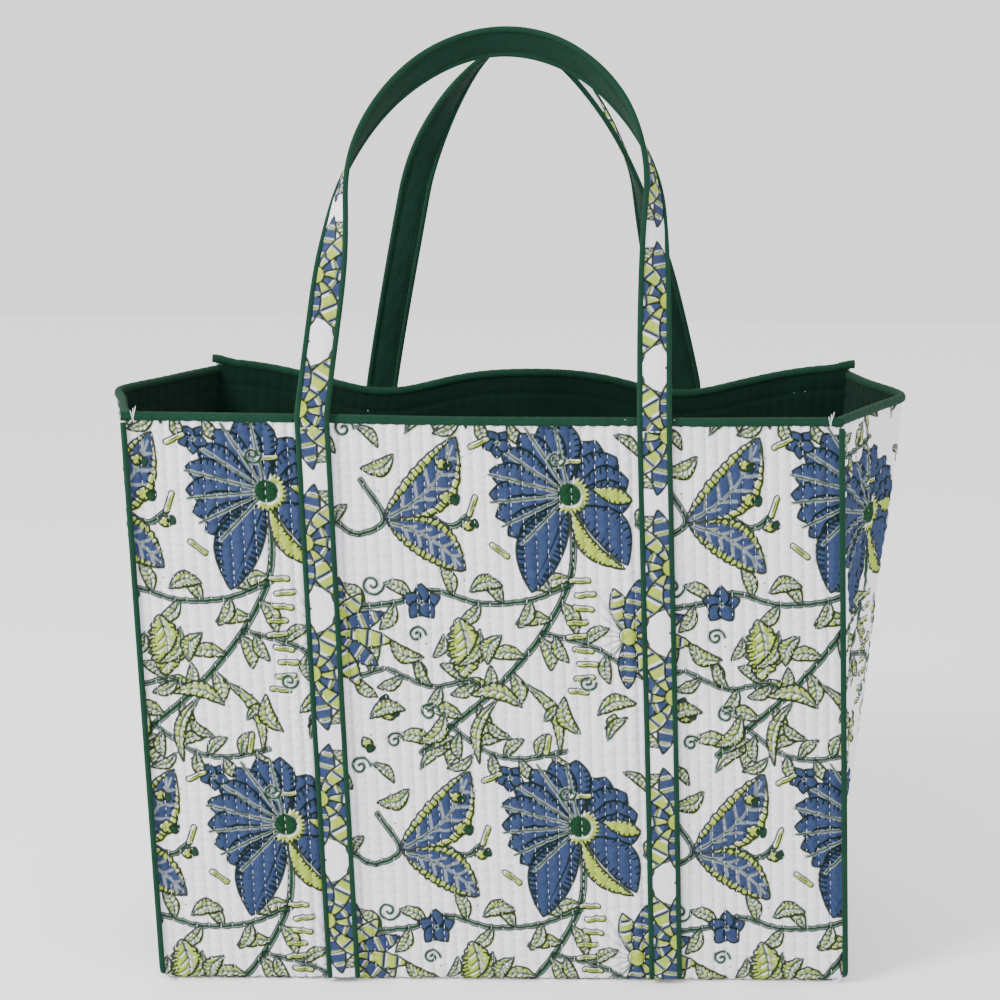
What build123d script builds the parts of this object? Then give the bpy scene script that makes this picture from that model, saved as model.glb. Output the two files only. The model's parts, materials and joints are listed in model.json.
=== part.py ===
"""Soft quilted knitting bag: layered cloth walls, bound rim, sewn straps and two hinged handle loops.

Frame: millimetres, origin at the centre of the base on the floor, +Z up, front towards -Y.
Apart from the shape of its loops the bag is the same when turned half a turn about Z, so the back
pieces are front pieces turned round.
"""
from build123d import *
import os
from math import asin, cos, pi, sin

# Driving dimensions of the cloth body
base_width = 464.0
rim_width = 460.0
depth = 184.0
height = 394.0
rim_skew = 19.0          # the front rim leans this far to -X, the back rim as far to +X
gusset_bulge = 38.0      # how far each gusset fold stands out at the rim

# Cloth layers, from the outside in
outer_cloth = 0.8
wadding = 2.4
lining_cloth = 0.8
wall = outer_cloth + wadding + lining_cloth

# Rim binding and seam piping
binding_cloth = 1.0
binding_drop = 7.0
piping_radius = 2.0
piping_clear = 0.4
floor_clear = 0.1

# Straps and handle loops
strap_spacing = 220.0    # between the two straps of one side, centre to centre
strap_width = 24.4       # over the piping on both edges
strap_face = 1.6
strap_backing = 1.6
strap_foot = 2.0         # the sewn straps stop this far above the floor
handle_rise = 246.0      # length of a loop from the rim to its top, along its lean
handle_gap = 4.0         # between the tops of the two loops, which lean on each other at rest
apex_drift = 14.0        # the top of a loop stands this far back towards the middle of the bag
front_narrowing = 0.12   # how much closer the two sides of the front loop are at its top
back_narrowing = 0.52
twist_start = 0.12       # fraction of the half loop below which the strap doesn't twist
hinge_clear = 0.2
leg_start = 1.4          # an upright leg starts this far up from the hinge line, a slanting one further
half_loop_stations = 12
station_step = 0.5       # spacing of the two points that give a loop its direction

# Thread
tack_length = 9.0
tack_thick = 1.0
stitch_row_drop = 7.0
stitch_row_width = 16.0
stitch_row_height = 1.0
stitch_row_proud = 0.5

# Worked out from the above
strap_thick = strap_face + strap_backing
band_half = strap_width / 2 - 2 * piping_radius
piping_across = strap_width / 2 - piping_radius
rim_top = height + binding_cloth
strap_stand_off = binding_cloth
strap_outer_y = -depth / 2 - strap_stand_off - strap_thick
hinge_y = strap_outer_y - hinge_clear
hinge_z = rim_top + hinge_clear
handle_lean = asin((-hinge_y - strap_width / 2 - handle_gap / 2) / handle_rise)
arch_radius = strap_spacing / 2
leg_length = handle_rise - arch_radius


def ring(part_up):
    """Outline of the bag at a fraction of its height, as six corners from front left, anticlockwise."""
    half = (base_width + (rim_width - base_width) * part_up) / 2
    shift = rim_skew * part_up
    fold = half + gusset_bulge * part_up
    return [
        Vector(-half - shift, -depth / 2),
        Vector(half - shift, -depth / 2),
        Vector(fold, 0),
        Vector(half + shift, depth / 2),
        Vector(-half + shift, depth / 2),
        Vector(-fold, 0),
    ]


def mitred(outline, index, inset):
    """Corner of the outline moved inwards by the same distance from both its sides."""
    here = outline[index]
    to_here = (here - outline[index - 1]).normalized()
    onward = (outline[(index + 1) % len(outline)] - here).normalized()
    in_before = Vector(-to_here.Y, to_here.X)
    in_after = Vector(-onward.Y, onward.X)
    between = in_before + in_after
    return here + between * (inset / (1 + in_before.dot(in_after)))


def corner(index, inset, z):
    """Corner at a height, on the straight line from the base's corner to the rim's."""
    low = mitred(ring(0.0), index, inset)
    high = mitred(ring(1.0), index, inset)
    flat = low + (high - low) * (z / height)
    return Vector(flat.X, flat.Y, z)


def skin(corners, inset_out, inset_in, z_low, z_high):
    """A stretch of wall between two insets, over the named corners, from one height to another."""
    sections = []
    for z in (z_low, z_high):
        outside = [corner(index, inset_out, z) for index in corners]
        inside = [corner(index, inset_in, z) for index in reversed(corners)]
        sections.append(make_face(Polyline(*outside, *inside, close=True)))
    return loft(sections, ruled=True)


def base_layer(z_low, z_high):
    """One flat layer of the base, out to the outer faces of the walls."""
    sections = []
    for z in (z_low, z_high):
        sections.append(make_face(Polyline(*[corner(index, 0, z) for index in range(6)], close=True)))
    return loft(sections, ruled=True)


def binding(corners):
    """Folded strip over the rim: a flange on each side of the wall and a strip along the top."""
    low = height - binding_drop
    outside = skin(corners, -binding_cloth, 0, low, height)
    inside = skin(corners, wall, wall + binding_cloth, low, height)
    top = skin(corners, -binding_cloth, wall + binding_cloth, height, rim_top)
    return outside + inside + top


def seam_piping(front_corner, back_corner):
    """Corded edge down the front seam of a gusset, along the base and up the back seam."""
    out = -piping_radius - piping_clear
    low = piping_radius + floor_clear
    top = height - binding_drop - piping_radius / 4
    points = [
        corner(front_corner, out, top),
        corner(front_corner, out, low),
        corner(back_corner, out, low),
        corner(back_corner, out, top),
    ]
    path = Polyline(*points)
    start = Plane(origin=path @ 0, z_dir=path % 0)
    return sweep(start * Circle(piping_radius), path=path, transition=Transition.ROUND)


def strap_centre(side, z):
    """Middle of a sewn front strap at a height; side is -1 for the left strap and 1 for the right."""
    return side * strap_spacing / 2 - rim_skew * z / height


def sewn_strip(side, across_low, across_high, y_out, y_in):
    """Upright strip of a front strap from the foot of the panel to the rim."""
    sections = []
    for z in (strap_foot, rim_top):
        x = strap_centre(side, z)
        sections.append(make_face(Polyline(
            (x + across_low, y_out, z),
            (x + across_high, y_out, z),
            (x + across_high, y_in, z),
            (x + across_low, y_in, z),
            close=True,
        )))
    return loft(sections, ruled=True)


def sewn_face(side):
    return sewn_strip(side, -band_half, band_half, strap_outer_y, strap_outer_y + strap_face)


def sewn_backing(side):
    """Backing of a sewn strap; below the binding it is thick enough to lie on the panel."""
    y_in = -depth / 2
    full = sewn_strip(side, -band_half, band_half, strap_outer_y + strap_face, y_in)
    return full - binding_room()


def binding_room():
    """Block along the front rim where the binding lies."""
    room = Box(2 * base_width, 2 * strap_stand_off, 2 * binding_drop)
    return Pos(0, -depth / 2, height) * room


def sewn_piping(side):
    """The two corded edges of a sewn strap."""
    cords = []
    y = strap_outer_y + strap_thick / 2
    for edge in (-1, 1):
        ends = []
        for z in (strap_foot, rim_top):
            ends.append(Vector(strap_centre(side, z) + edge * piping_across, y, z))
        path = Line(*ends)
        start = Plane(origin=ends[0], z_dir=path % 0)
        cords.append(sweep(start * Circle(strap_thick / 2), path=path))
    return Compound(children=cords)


def loop_place(along, narrowing):
    """Place on the middle line of a loop in its own plane: aside and up, from its left foot."""
    curve = pi * arch_radius
    if along < leg_length:
        aside, rise = -arch_radius, along
    elif along < leg_length + curve:
        turn = (along - leg_length) / arch_radius
        aside, rise = -arch_radius * cos(turn), leg_length + arch_radius * sin(turn)
    else:
        aside, rise = arch_radius, 2 * leg_length + curve - along
    return aside * (1 - narrowing * rise / handle_rise), rise


def loop_station(part, narrowing):
    """Point and directions of a front loop at a fraction of its length: place, across, outward."""
    whole = 2 * leg_length + pi * arch_radius
    start = leg_start + strap_width / 2 * narrowing * arch_radius / handle_rise
    along = start + part * (whole - 2 * start)
    aside, rise = loop_place(along, narrowing)
    aside_before, rise_before = loop_place(along - station_step, narrowing)
    aside_after, rise_after = loop_place(along + station_step, narrowing)
    up = Vector(0, sin(handle_lean), cos(handle_lean))
    inward = Vector(0, cos(handle_lean), -sin(handle_lean))
    drift = apex_drift * rise / handle_rise
    place = Vector(aside + drift - rim_skew, hinge_y, hinge_z) + up * rise
    ahead = (Vector(aside_after - aside_before, 0, 0) + up * (rise_after - rise_before)).normalized()
    sideways = ahead.cross(inward) * -1
    reach = max(0.0, (1 - abs(2 * part - 1) - twist_start) / (1 - twist_start))
    twist = -pi / 2 * reach * reach * (3 - 2 * reach)
    across = sideways * cos(twist) + inward * sin(twist)
    outward = across.cross(ahead)
    return place + inward * (strap_thick / 2), across, outward


def loop_band(narrowing, depth_out, depth_in):
    """Flat band of a loop between two depths, measured outwards from its middle surface."""
    sections = []
    for index in range(2 * half_loop_stations + 1):
        place, across, outward = loop_station(index / (2 * half_loop_stations), narrowing)
        corners = [
            place + across * band_half + outward * depth_out,
            place - across * band_half + outward * depth_out,
            place - across * band_half + outward * depth_in,
            place + across * band_half + outward * depth_in,
        ]
        sections.append(make_face(Polyline(*corners, close=True)))
    return loft(sections, ruled=True)


def loop_piping(narrowing, edge):
    """Corded edge of a loop, eight-sided; edge is -1 or 1."""
    radius = strap_thick / 2
    sections = []
    for index in range(2 * half_loop_stations + 1):
        place, across, outward = loop_station(index / (2 * half_loop_stations), narrowing)
        centre = place + across * (edge * (band_half + radius))
        points = []
        for side in range(8):
            angle = (side + 0.5) * pi / 4
            reach = radius / cos(pi / 8)
            points.append(centre + across * (reach * cos(angle)) + outward * (reach * sin(angle)))
        sections.append(make_face(Polyline(*points, close=True)))
    return loft(sections, ruled=True)


def corner_tacks():
    """Short thread bar at each front corner of the rim, on the face of the binding."""
    bars = []
    for side in (-1, 1):
        x = side * (rim_width / 2 - tack_length) - rim_skew
        y = -depth / 2 - binding_cloth - tack_thick / 2
        bars.append(Pos(x, y, height - binding_drop / 2) * Box(tack_length, tack_thick, tack_thick))
    return Compound(children=bars)


def strap_stitch_rows():
    """Row of stitching across each front strap just below the rim."""
    rows = []
    z = rim_top - stitch_row_drop
    for side in (-1, 1):
        place = Pos(strap_centre(side, z), strap_outer_y - stitch_row_proud / 2, z)
        rows.append(place * Box(stitch_row_width, stitch_row_proud, stitch_row_height))
    return Compound(children=rows)


def turned(shape):
    """The same piece on the other side of the bag."""
    return shape.rotate(Axis.Z, 180)


def layers():
    """Each wall and the base in outer cloth, wadding and lining."""
    pieces = {}
    stack = [("outer", 0.0, outer_cloth)]
    stack.append(("wadding", outer_cloth, outer_cloth + wadding))
    stack.append(("lining", outer_cloth + wadding, wall))
    for name, near, far in stack:
        front = skin([0, 1], near, far, wall, height)
        right = skin([1, 2, 3], near, far, wall, height)
        pieces["front_panel_" + name] = front
        pieces["back_panel_" + name] = turned(front)
        pieces["right_gusset_" + name] = right
        pieces["left_gusset_" + name] = turned(right)
        pieces["base_" + name] = base_layer(near, far)
    return pieces


def trims():
    """Rim binding, seam piping and thread tacks."""
    front = binding([0, 1])
    right = binding([1, 2, 3])
    piping = seam_piping(1, 3)
    tacks = corner_tacks()
    rows = strap_stitch_rows()
    return {
        "front_rim_binding": front,
        "back_rim_binding": turned(front),
        "right_rim_binding": right,
        "left_rim_binding": turned(right),
        "right_gusset_piping": piping,
        "left_gusset_piping": turned(piping),
        "front_corner_tacks": tacks,
        "front_strap_stitch_rows": rows,
        "back_strap_stitch_rows": turned(rows),
    }


def sewn_straps():
    """The strap stretches stitched to the front and back panels."""
    pieces = {}
    for side, name, opposite in ((-1, "left", "right"), (1, "right", "left")):
        for part, shape in (
            ("face", sewn_face(side)),
            ("backing", sewn_backing(side)),
            ("piping", sewn_piping(side)),
        ):
            pieces["front_" + name + "_strap_" + part] = shape
            pieces["back_" + opposite + "_strap_" + part] = turned(shape)
    return pieces


def handle_loop(narrowing):
    """The four pieces of one free loop, in the front loop's place."""
    middle = strap_thick / 2 - strap_face
    return {
        "face": loop_band(narrowing, strap_thick / 2, middle),
        "backing": loop_band(narrowing, middle, -strap_thick / 2),
        "inner_piping": loop_piping(narrowing, 1),
        "outer_piping": loop_piping(narrowing, -1),
    }


def handle_loops():
    """The two free loops; the back one narrows more towards its top."""
    pieces = {}
    for part, shape in handle_loop(front_narrowing).items():
        pieces["front_handle_" + part] = shape
    for part, shape in handle_loop(back_narrowing).items():
        pieces["back_handle_" + part] = turned(shape)
    return pieces


os.makedirs("parts", exist_ok=True)
for node, shape in {**layers(), **trims(), **sewn_straps(), **handle_loops()}.items():
    export_step(shape, "parts/" + node + ".step")
print("hinge line: y", round(hinge_y, 3), "z", round(hinge_z, 3))
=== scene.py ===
# %% [markdown]
# # A quilted, block-printed knitting bag
# The real bag is sewn from block-printed cotton quilted over wadding, lined in dark green, with a bound
# rim, corded seams and two long straps that become the handles. The overall sizes are read from the frame,
# so the cloth lies where the construction puts it. Small sizes are set where they are first used.
# %% Load the frame
import json
import math
import bpy
import numpy as np
from mathutils import Matrix, Vector


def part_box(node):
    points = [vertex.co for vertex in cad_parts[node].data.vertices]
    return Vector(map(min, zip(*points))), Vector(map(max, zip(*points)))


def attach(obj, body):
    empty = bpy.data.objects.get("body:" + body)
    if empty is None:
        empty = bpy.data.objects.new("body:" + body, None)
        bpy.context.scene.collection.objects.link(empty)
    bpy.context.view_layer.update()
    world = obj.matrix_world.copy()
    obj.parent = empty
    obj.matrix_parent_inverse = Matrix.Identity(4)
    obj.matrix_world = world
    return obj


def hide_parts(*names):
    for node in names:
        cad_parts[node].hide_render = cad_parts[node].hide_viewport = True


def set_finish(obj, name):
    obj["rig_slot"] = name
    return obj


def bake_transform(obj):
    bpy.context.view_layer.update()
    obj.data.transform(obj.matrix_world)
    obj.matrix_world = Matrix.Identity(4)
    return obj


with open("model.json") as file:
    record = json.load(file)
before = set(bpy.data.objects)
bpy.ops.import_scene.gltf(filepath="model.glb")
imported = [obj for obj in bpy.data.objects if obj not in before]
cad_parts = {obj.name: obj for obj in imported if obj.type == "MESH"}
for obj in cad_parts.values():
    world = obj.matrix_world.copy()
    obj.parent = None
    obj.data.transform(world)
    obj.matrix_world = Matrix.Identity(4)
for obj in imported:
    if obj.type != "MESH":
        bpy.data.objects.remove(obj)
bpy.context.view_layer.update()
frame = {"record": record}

# %% [markdown]
# The walls are described by a few numbers: how wide the bag is at the base and at the rim, how deep, how
# high, how far the rim leans and how far the gusset folds stand out. The frame's boxes and joints give them,
# apart from the thickness of the wall and of the binding.
# %% Sizes from the frame
MM = 0.001
binding_cloth = 1.0 * MM
wall = 4.0 * MM
base_low, base_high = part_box("base_outer")
rim_low, rim_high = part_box("front_rim_binding")
fold_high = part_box("right_rim_binding")[1]
depth = base_high[1] - base_low[1]
base_width = base_high[0] - base_low[0]
height = rim_high[2] - binding_cloth
rim_width = rim_high[0] - rim_low[0] - 2 * binding_cloth
skew = -(rim_low[0] + rim_high[0]) / 2
bulge = fold_high[0] - rim_width / 2 - binding_cloth
joints = {joint["name"]: joint for joint in frame["record"]["behaviour"]["joints"]}
hinge_y = joints["front_handle_swing"]["pos_m"][1]
hinge_z = joints["front_handle_swing"]["pos_m"][2]
handle_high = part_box("front_handle_face")[1]
strap_low, strap_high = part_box("front_left_strap_piping")
strap_width = strap_high[0] - strap_low[0] - skew * (strap_high[2] - strap_low[2]) / height
strap_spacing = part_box("front_right_strap_piping")[0][0] - strap_low[0]
print("bag", np.round([base_width, depth, height], 4), "strap", round(strap_width, 4))

# %% [markdown]
# ## The cloth surface
# A wall is a function, not a mesh: give it a place across the wall, a height and a distance outwards, and
# it gives a point in space. Panels, threads, piping and straps all ask the same function, so they stay
# together wherever the cloth bends. Long soft waves stop the walls from looking like boards.
# %% Soft waves and the rim line
base_roll = 8.0 * MM
strap_dip = 13.0 * MM
dip_places = (0.27, 0.735)
dip_reach = 0.11
corner_drop = 5.0 * MM
front_sag = 1.5 * MM
belly_depth = 4.0
wave_phase = {"front": 0.4, "right": 1.9, "back": 3.1, "left": 4.6}


def smooth(value):
    value = np.clip(value, 0, 1)
    return value * value * (3 - 2 * value)


def waves(side, across, up):
    """Long shallow ripples of a hanging quilted wall, in metres outwards."""
    phase = wave_phase[side]
    ripple = 1.5 * np.sin(7.0 * across + 2.1 * up + phase) + 1.1 * np.sin(3.3 * up - 9.0 * across + 2 * phase)
    ripple = ripple + 0.7 * np.sin(17.0 * across + 5.0 * up + 3 * phase)
    ripple = ripple + 0.5 * np.sin(11.0 * up + 4.0 * across + phase)
    edge = smooth(4 * across) * smooth(4 * (1 - across)) * smooth(5 * up)
    belly = belly_depth * np.sin(math.pi * np.clip(up, 0, 1)) * np.sin(math.pi * np.clip(across, 0, 1))
    return (ripple * edge + belly) * MM


def rim_shape(side, across, up):
    """How far the rim has moved down and inwards, fading away below it."""
    fade = smooth((up - 0.45) / 0.55)
    down = 0.0 * across
    inward = 0.0 * across
    if side == "back":
        for place in dip_places:
            pull = np.exp(-((across - place) / dip_reach) ** 2)
            down = down + strap_dip * pull
            inward = inward + strap_dip * pull
        down = down - corner_drop * (smooth(1 - 6 * across) + smooth(6 * across - 5))
    if side == "front":
        down = down + front_sag * np.sin(math.pi * across) ** 2
    return down * fade, inward * fade


print("straps pull the back rim down by", round(strap_dip / MM, 1), "mm")


# %% Points on a wall
fold_round = 0.012


def fold_profile(across):
    """Gusset fold: a soft V, 0 at the seams and 1 at the crease."""
    peak = math.sqrt(1 + fold_round) - math.sqrt(fold_round)
    return (math.sqrt(1 + fold_round) - np.sqrt((2 * across - 1) ** 2 + fold_round)) / peak


def half_width(up):
    """Half the width of the front and back at a share of the height."""
    return (base_width + (rim_width - base_width) * up) / 2


def wall_point(side, across, up, out=0.0):
    """Point on a wall of the bag; out is the distance outwards from the outer cloth."""
    across, up, out = np.broadcast_arrays(
        np.asarray(across, float), np.asarray(up, float), np.asarray(out, float))
    half = half_width(up)
    z = up * height
    roll = np.clip(base_roll - z, 0, base_roll)
    out = out + waves(side, across, up) - (base_roll - np.sqrt(base_roll ** 2 - roll ** 2))
    down, inward = rim_shape(side, across, up)
    out = out - inward
    if side in ("front", "back"):
        x = (2 * across - 1) * half - skew * up
        y = -depth / 2 - out
    else:
        x = half + bulge * up * fold_profile(across) + skew * up * (2 * across - 1) + out
        y = -depth / 2 + depth * across
    if side in ("back", "left"):
        x, y = -x, -y
    return np.stack([x, y, z - down], axis=-1)


print("middle of the front rim:", np.round(wall_point("front", 0.5, 1.0), 4))

# %% [markdown]
# ## Meshes from grids
# A sewn panel is a sheet and a cord is a sheet rolled into a tube, so one helper makes both from a grid of
# points. It also writes a flat map of the cloth, which keeps the print and weave unstretched.
# %% Mesh helpers
def quad_mesh(name, points, faces, corners, smooth_faces):
    """Object from points and four-cornered faces; corners is the flat place of each face corner."""
    mesh = bpy.data.meshes.new(name)
    mesh.vertices.add(points.size // 3)
    mesh.vertices.foreach_set("co", points.reshape(-1).astype(np.float32))
    mesh.loops.add(faces.size)
    mesh.loops.foreach_set("vertex_index", faces.ravel().astype(np.int32))
    mesh.polygons.add(len(faces))
    mesh.polygons.foreach_set("loop_start", np.arange(0, faces.size, 4, dtype=np.int32))
    if smooth_faces:
        mesh.polygons.foreach_set("use_smooth", np.ones(len(faces), dtype=bool))
    mesh.update(calc_edges=True)
    layer = mesh.uv_layers.new(name="OFBake")
    layer.data.foreach_set("uv", corners.reshape(-1).astype(np.float32))
    piece = bpy.data.objects.new(name, mesh)
    bpy.context.scene.collection.objects.link(piece)
    return piece


def grid_mesh(name, points, closed=False, colours=None, flat=None):
    rows, columns = points.shape[:2]
    wrap = columns if closed else columns - 1
    row_index, column_index = np.meshgrid(np.arange(rows - 1), np.arange(wrap), indexing="ij")
    a = (row_index * columns + column_index).ravel()
    b = (row_index * columns + (column_index + 1) % columns).ravel()
    faces = np.stack([a, b, b + columns, a + columns], axis=1)
    u = np.stack([column_index, column_index + 1, column_index + 1, column_index], axis=-1) / wrap
    v = np.stack([row_index, row_index, row_index + 1, row_index + 1], axis=-1) / (rows - 1)
    piece = quad_mesh(name, points, faces, np.stack([u, v], axis=-1), smooth_faces=True)
    mesh = piece.data
    if colours is not None:
        ink = mesh.attributes.new("ink", "FLOAT_COLOR", "POINT")
        ink.data.foreach_set("color", colours.reshape(-1).astype(np.float32))
    if flat is not None:
        cloth = mesh.attributes.new("cloth", "FLOAT_VECTOR", "POINT")
        cloth.data.foreach_set("vector", flat.reshape(-1).astype(np.float32))
    mesh.validate()
    return piece


def directions(path):
    """Unit direction along a path at each of its points."""
    step = np.gradient(path, axis=0)
    return step / np.linalg.norm(step, axis=1, keepdims=True)


def ring_along(path, across, radius_across, radius_out=None, sides=12):
    """Rings round a path, drawn to a point at both ends; across is each ring's first direction."""
    radius_out = radius_across if radius_out is None else radius_out
    tangent = directions(path)
    outward = np.cross(tangent, across)
    outward = outward / np.linalg.norm(outward, axis=1, keepdims=True)
    across = np.cross(outward, tangent)
    angle = np.linspace(0, 2 * math.pi, sides, endpoint=False)
    rings = path[:, None, :] + radius_across * np.cos(angle)[None, :, None] * across[:, None, :]
    rings = rings + radius_out * np.sin(angle)[None, :, None] * outward[:, None, :]
    first_point = np.repeat(path[:1, None, :], sides, axis=1)
    last_point = np.repeat(path[-1:, None, :], sides, axis=1)
    return np.concatenate([first_point, rings, last_point], axis=0)


def arc_length(path):
    return np.concatenate([[0], np.cumsum(np.linalg.norm(np.diff(path, axis=0), axis=1))])


front_rim = wall_point("front", np.linspace(0, 1, 50), 1.0)
print("front rim measures", round(arc_length(front_rim)[-1], 4), "m along its waves")

# %% [markdown]
# ## The block print
# A hand-cut wooden block prints one repeat, with one block for each colour: blue, green, lime and a thin
# dark outline. Here the same repeat is drawn as shapes in millimetres on a small grid that wraps round at
# its edges. Each shape clears what lies under it, as one motif hides another, and then gets its outline.
# %% One repeat of the print
repeat_x = 198.0
repeat_y = 230.0
cell = 0.36
columns = int(repeat_x / cell)
rows = int(repeat_y / cell)
BLUE, GREEN, LIME, DARK = range(4)
tile = np.zeros((rows, columns, 4))


def window(low, high):
    """Grid places inside a box, wrapped round the repeat."""
    i = np.arange(math.floor(low[0] / cell), math.ceil(high[0] / cell) + 1)
    j = np.arange(math.floor(low[1] / cell), math.ceil(high[1] / cell) + 1)
    return np.ix_(j % rows, i % columns), i[None, :] * cell, j[:, None] * cell


def lay(place, cover, ink):
    """Ink a patch of the repeat, hiding other inks under it."""
    patch = tile[place]
    if ink == DARK:
        patch[..., DARK] = np.maximum(patch[..., DARK], cover)
    else:
        patch = patch * (1 - cover[..., None])
        patch[..., ink] += cover
    tile[place] = patch


def fill(outline, ink):
    outline = np.asarray(outline, float)
    place, x, y = window(outline.min(0) - 1, outline.max(0) + 1)
    inside = np.zeros(np.broadcast(x, y).shape, bool)
    for (x0, y0), (x1, y1) in zip(outline, np.roll(outline, -1, axis=0)):
        if y0 != y1:
            inside ^= ((y0 > y) != (y1 > y)) & (x < (x1 - x0) * (y - y0) / (y1 - y0) + x0)
    lay(place, inside.astype(float), ink)


def line(points, width, ink, closed=False, taper=False):
    points = np.asarray(points, float)
    if closed:
        points = np.vstack([points, points[:1]])
    place, x, y = window(points.min(0) - width, points.max(0) + width)
    cover = np.zeros(np.broadcast(x, y).shape)
    count = len(points) - 1
    for index in range(count):
        gap, along = gap_to(x, y, points[index], points[index + 1])
        half = width / 2 * (1 - 0.75 * (index + along) / count if taper else 1)
        cover = np.maximum(cover, np.clip((half - gap) / cell + 0.5, 0, 1))
    lay(place, cover, ink)


def clear_dark(points, width):
    """Wipe the dark outline from the middle of a line, so that only its edges stay dark."""
    points = np.asarray(points, float)
    place, x, y = window(points.min(0) - width, points.max(0) + width)
    keep = np.ones(np.broadcast(x, y).shape)
    for start, stop in zip(points[:-1], points[1:]):
        gap, _ = gap_to(x, y, start, stop)
        keep = np.minimum(keep, np.clip((gap - width / 2) / cell + 0.5, 0, 1))
    patch = tile[place]
    patch[..., DARK] *= keep
    tile[place] = patch


def curve(points, count=24):
    """Smooth line through a few points."""
    points = np.asarray(points, float)
    ends = np.vstack([2 * points[0] - points[1], points, 2 * points[-1] - points[-2]])
    spans = len(points) - 1
    t = np.linspace(0, spans, count)
    k = np.minimum(t.astype(int), spans - 1)
    f = (t - k)[:, None]
    p0, p1, p2, p3 = ends[k], ends[k + 1], ends[k + 2], ends[k + 3]
    return 0.5 * (2 * p1 + (p2 - p0) * f + (2 * p0 - 5 * p1 + 4 * p2 - p3) * f ** 2
                  + (3 * p1 - p0 - 3 * p2 + p3) * f ** 3)


def gap_to(x, y, start, stop):
    """Distance of each grid place from one straight stretch, and how far along it the nearest place is."""
    (x0, y0), (x1, y1) = start, stop
    length = max((x1 - x0) ** 2 + (y1 - y0) ** 2, 1e-9)
    along = np.clip(((x - x0) * (x1 - x0) + (y - y0) * (y1 - y0)) / length, 0, 1)
    return np.hypot(x - x0 - along * (x1 - x0), y - y0 - along * (y1 - y0)), along


def ahead_of(angle):
    return np.array([math.cos(angle), math.sin(angle)])


def disc(centre, radius, count, ink):
    edge = [centre + radius * ahead_of(angle) for angle in np.linspace(0, 2 * math.pi, count)]
    fill(edge, ink)
    return edge


print("one repeat:", rows, "by", columns, "cells of", cell, "mm")


# %% [markdown]
# The motifs are the usual ones of Indian block-printed cotton: a fan-shaped flower, toothed leaves, buds,
# curling vines and little five-petalled flowers. A leaf with settings makes most of them: its length,
# width, bend, teeth and hatching change it from a petal to a pod.
# %% Motifs of the print
outline_width = 1.05
fine_line = 0.5
vein_width = 1.9
side_vein_width = 1.0
border_share = 0.68


def leaf(base, tip, width, ink, bend=0.0, teeth=0, tooth=0.12, blunt=1.0, hatch=0, border=None, vein=None):
    """A leaf, petal or pod; hatch counts the short cuts in each edge and border inks a rim round it."""
    base, tip = np.asarray(base, float), np.asarray(tip, float)
    along = tip - base
    length = np.hypot(*along)
    side = np.array([-along[1], along[0]]) / length
    t = np.linspace(0, 1, 40)
    spine = base + along * t[:, None] + side * (bend * length * np.sin(math.pi * t))[:, None]
    half = width / 2 * np.sin(math.pi * t ** blunt) ** 0.8
    if teeth:
        half = half * (1 + tooth * np.abs(np.sin(teeth * math.pi * t)))
    edge = np.vstack([spine + side * half[:, None], (spine - side * half[:, None])[::-1]])
    fill(edge, ink if border is None else border)
    if border is not None:
        inner = half * border_share
        core = np.vstack([spine + side * inner[:, None], (spine - side * inner[:, None])[::-1]])
        fill(core, ink)
        line(core, fine_line, DARK, closed=True)
    line(edge, outline_width, DARK, closed=True)
    for k in range(hatch):
        f = (k + 0.5) / hatch
        index = min(int(3 + f * 35), 39)
        for hand in (1, -1):
            start = spine[index] + hand * side * half[index]
            stop = spine[index] + hand * side * half[index] * 0.62 - along / length * 0.8
            line([start, stop], 0.8, DARK)
    if vein is not None:
        line(spine[2:-3], vein_width, vein, taper=True)
        for k in range(5):
            index = 7 + 6 * k
            for hand in (1, -1):
                stop = spine[index] + hand * side * half[index] * 0.6 + along / length * width * 0.25
                line([spine[index], stop], side_vein_width, vein)


def vine(points, width=2.7, count=28):
    path = curve(points, count)
    line(path, width + 1.5, DARK)
    clear_dark(path, width)
    line(path, width, GREEN)
    return path


def bud(at, angle, size=9.0, ink=LIME):
    ahead = ahead_of(angle)
    at = np.asarray(at, float)
    leaf(at, at + ahead * size, size * 0.75, ink, hatch=3)
    leaf(at - ahead * size * 0.15, at + ahead * size * 0.4, size * 0.6, GREEN, blunt=0.6)


def capsule(at, angle, length=11.0):
    ahead = ahead_of(angle)
    at = np.asarray(at, float)
    line([at - ahead * length / 2, at + ahead * length / 2], 4.4, DARK)
    line([at - ahead * length / 2, at + ahead * length / 2], 3.0, LIME)
    line([at - ahead * length * 0.3, at + ahead * length * 0.3], fine_line, DARK)


def small_flower(at, size=13.0, turn=0.3):
    at = np.asarray(at, float)
    for k in range(5):
        angle = turn + 2 * math.pi * k / 5
        leaf(at, at + size * ahead_of(angle), size * 0.8, BLUE, blunt=0.75)
    line([at, at + [0.1, 0.1]], 3.0, GREEN)


def curl(at, size, hand=1, turns=1.4):
    t = np.linspace(0, 1, 26)
    radius = size * (1 - 0.85 * t)
    angle = hand * turns * 2 * math.pi * t
    line(np.stack([at[0] + radius * np.cos(angle), at[1] + radius * np.sin(angle)], axis=1), 2.3, GREEN)


def sprig(path, leaves, size=21.0, start=0.1, ink=LIME):
    """Small leaves on alternate sides of a vine."""
    for k in range(leaves):
        index = int((start + (0.96 - start) * k / max(leaves - 1, 1)) * (len(path) - 2))
        ahead = path[index + 1] - path[index]
        angle = math.atan2(ahead[1], ahead[0]) + (0.9 if k % 2 else -0.9)
        tip = path[index] + size * ahead_of(angle)
        leaf(path[index], tip, size * 0.42, ink, bend=0.12 if k % 2 else -0.12, vein=GREEN, hatch=4)


def pod(base, tip, width=7.5, bend=0.18):
    leaf(base, tip, width, LIME, bend=bend, teeth=11, tooth=0.16, hatch=11, vein=GREEN)


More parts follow.
